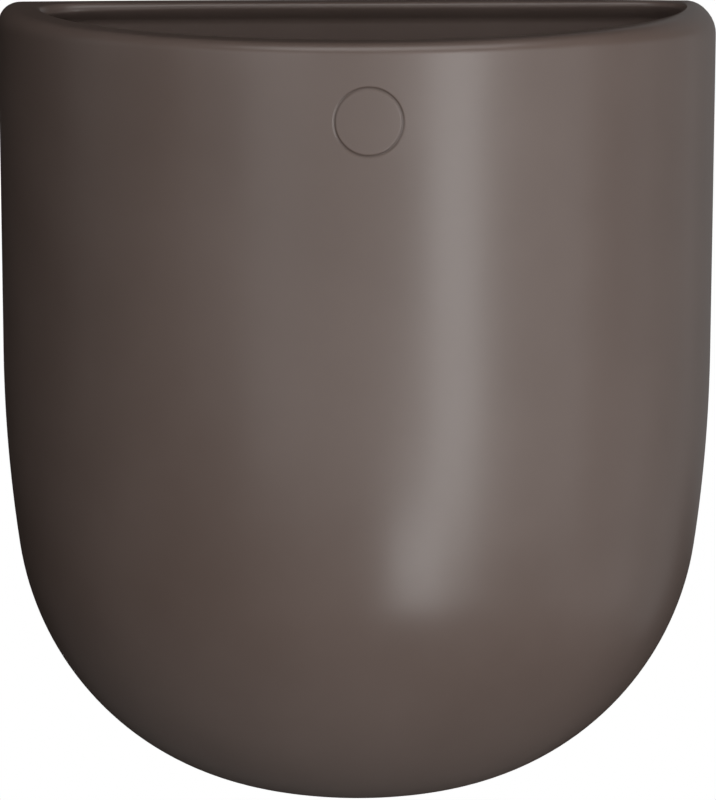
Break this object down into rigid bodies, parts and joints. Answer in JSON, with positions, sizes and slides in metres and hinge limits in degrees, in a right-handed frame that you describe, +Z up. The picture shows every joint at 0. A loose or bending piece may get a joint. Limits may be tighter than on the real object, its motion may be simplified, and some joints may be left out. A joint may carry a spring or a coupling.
{
  "type": "hanging wall vase",
  "caption": "Glazed earthenware wall vase: a half-round cup with a flat back slab and rolled lip, hung by a keyhole on a screw and wall plug.",
  "frame": {"origin": "on the wall screw's axis, at the wall's surface", "axes": "+Y into the wall along the screw, +Z up, +X to the right as seen from the front; the cup bulges towards -Y"},
  "size_m": [0.18, 0.1449, 0.201],
  "materials": {
    "glaze": "satin taupe-brown glaze over fired earthenware",
    "screw_steel": "bright zinc plate",
    "plug_nylon": "moulded grey nylon",
    "bush_nylon": "moulded natural nylon",
    "pad_rubber": "soft matt pad"
  },
  "bodies": {
    "fixing": {"wall_plug": "plug_nylon", "wall_screw": "screw_steel"},
    "bush": {"hanger_bush": "bush_nylon"},
    "vase": {"vase_body": "glaze", "bumper_top_left": "pad_rubber", "bumper_top_right": "pad_rubber", "bumper_bottom_left": "pad_rubber", "bumper_bottom_right": "pad_rubber"}
  },
  "joints": [
    {"name": "swivel", "type": "hinge", "parent": "fixing", "child": "bush", "pos_m": [0, 0, 0], "axis": [0, 1, 0], "range_deg": [-45, 45]},
    {"name": "lift", "type": "slide", "parent": "bush", "child": "vase", "axis": [0, 0, 1], "range_m": [0, 0.014]}
  ]
}
